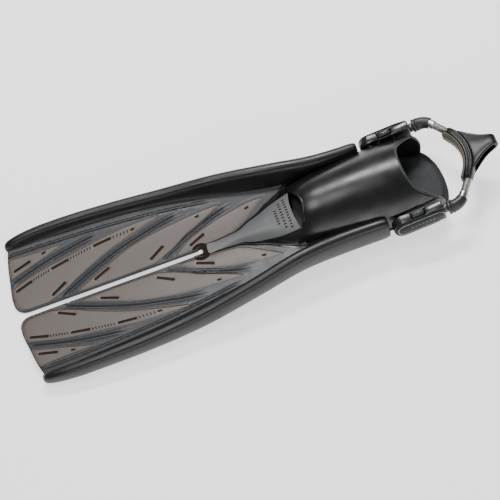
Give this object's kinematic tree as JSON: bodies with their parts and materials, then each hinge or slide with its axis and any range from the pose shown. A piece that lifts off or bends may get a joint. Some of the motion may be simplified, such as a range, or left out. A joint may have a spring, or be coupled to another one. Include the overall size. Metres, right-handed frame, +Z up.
{
  "type": "swim fin",
  "caption": "Open-heel split-blade swim fin with black rubber side rails, grey frame, smoky panels, foot pocket and a sprung heel strap on release buckles.",
  "frame": {"origin": "middle of the fin over the floor it rests on, on the plane between its two halves", "axes": "+X from the blade tip to the heel strap, +Y to the right side of the foot, +Z up from the floor"},
  "size_m": [0.6669, 0.2312, 0.0775],
  "materials": {
    "rail_rubber": "satin black thermoplastic rubber",
    "pocket_rubber": "satin black thermoplastic rubber",
    "footbed_rubber": "matt dark grey rubber",
    "sole_rubber": "matt black rubber with cross grooves",
    "plate_plastic": "satin mid-grey moulded plastic",
    "frame_plastic": "satin mid-grey moulded plastic",
    "panel_elastomer": "smoky warm-grey translucent elastomer",
    "disc_elastomer": "dark brown elastomer",
    "post_steel": "stainless steel",
    "button_spring_steel": "stainless spring wire",
    "button_plastic": "dark grey ribbed plastic",
    "badge_plastic": "dark grey plastic, unmarked",
    "latch_plastic": "black glass-filled plastic",
    "buckle_plastic": "satin black glass-filled plastic",
    "sleeve_plastic": "satin black plastic",
    "ferrule_steel": "stainless steel",
    "spring_steel": "stainless spring wire",
    "limit_cord": "braided black cord",
    "pad_lining": "soft warm-grey elastomer",
    "pad_rubber": "satin black thermoplastic rubber"
  },
  "bodies": {
    "fin": {"outsole": "sole_rubber", "footbed": "footbed_rubber", "centre_plate": "plate_plastic", "slit_end_disc": "disc_elastomer", "right_blade_root": "frame_plastic", "right_strap_post": "post_steel", "left_blade_root": "frame_plastic", "left_strap_post": "post_steel", "foot_pocket": "pocket_rubber", "right_rail_rear": "rail_rubber", "left_rail_rear": "rail_rubber"},
    "left_blade": {"left_blade_frame": "frame_plastic", "left_panel_1": "panel_elastomer", "left_panel_2": "panel_elastomer", "left_panel_3": "panel_elastomer", "left_panel_4": "panel_elastomer", "left_rail_front": "rail_rubber"},
    "right_blade": {"right_blade_frame": "frame_plastic", "right_panel_1": "panel_elastomer", "right_panel_2": "panel_elastomer", "right_panel_3": "panel_elastomer", "right_panel_4": "panel_elastomer", "right_rail_front": "rail_rubber"},
    "heel_strap": {"right_buckle_housing": "buckle_plastic", "right_buckle_cover": "buckle_plastic", "right_badge_plate": "badge_plastic", "right_top_button_spring": "button_spring_steel", "right_bottom_button_spring": "button_spring_steel", "right_latch_insert": "latch_plastic", "right_strap_collar": "sleeve_plastic", "right_strap_sleeve": "sleeve_plastic", "right_strap_ferrule": "ferrule_steel", "left_buckle_housing": "buckle_plastic", "left_buckle_cover": "buckle_plastic", "left_badge_plate": "badge_plastic", "left_top_button_spring": "button_spring_steel", "left_bottom_button_spring": "button_spring_steel", "left_latch_insert": "latch_plastic", "left_strap_collar": "sleeve_plastic", "left_strap_sleeve": "sleeve_plastic", "left_strap_ferrule": "ferrule_steel"},
    "heel_pad": {"right_strap_spring": "spring_steel", "right_limit_cord": "limit_cord", "left_strap_spring": "spring_steel", "left_limit_cord": "limit_cord", "heel_pad": "pad_rubber", "heel_pad_lining": "pad_lining", "finger_loop": "pad_rubber"},
    "left_top_button": {"left_top_button": "button_plastic"},
    "left_bottom_button": {"left_bottom_button": "button_plastic"},
    "right_top_button": {"right_top_button": "button_plastic"},
    "right_bottom_button": {"right_bottom_button": "button_plastic"}
  },
  "joints": [
    {"name": "left_blade_flex", "type": "hinge", "parent": "fin", "child": "left_blade", "pos_m": [0.06382, 0, 0.03602], "axis": [0, 1, 0], "range_deg": [-12, 12], "stiffness_Nm_per_rad": 60},
    {"name": "right_blade_flex", "type": "hinge", "parent": "fin", "child": "right_blade", "pos_m": [0.06382, 0, 0.03602], "axis": [0, 1, 0], "range_deg": [-12, 12], "stiffness_Nm_per_rad": 60},
    {"name": "strap_swing", "type": "hinge", "parent": "fin", "child": "heel_strap", "pos_m": [0.18009, 0, 0.03508], "axis": [0, -1, 0], "range_deg": [-40, 90]},
    {"name": "strap_stretch", "type": "slide", "parent": "heel_strap", "child": "heel_pad", "axis": [0.9891, 0, 0.1475], "range_m": [0, 0.025], "stiffness_N_per_m": 1500, "deforming": ["left_strap_spring", "left_limit_cord", "right_strap_spring", "right_limit_cord"]},
    {"name": "left_top_press", "type": "slide", "parent": "heel_strap", "child": "left_top_button", "axis": [0.1475, 0, -0.9891], "range_m": [0, 0.0025], "stiffness_N_per_m": 1200, "deforming": ["left_top_button_spring"]},
    {"name": "left_bottom_press", "type": "slide", "parent": "heel_strap", "child": "left_bottom_button", "axis": [-0.1475, 0, 0.9891], "range_m": [0, 0.0025], "stiffness_N_per_m": 1200, "deforming": ["left_bottom_button_spring"]},
    {"name": "right_top_press", "type": "slide", "parent": "heel_strap", "child": "right_top_button", "axis": [0.1475, 0, -0.9891], "range_m": [0, 0.0025], "stiffness_N_per_m": 1200, "deforming": ["right_top_button_spring"]},
    {"name": "right_bottom_press", "type": "slide", "parent": "heel_strap", "child": "right_bottom_button", "axis": [-0.1475, 0, 0.9891], "range_m": [0, 0.0025], "stiffness_N_per_m": 1200, "deforming": ["right_bottom_button_spring"]}
  ]
}
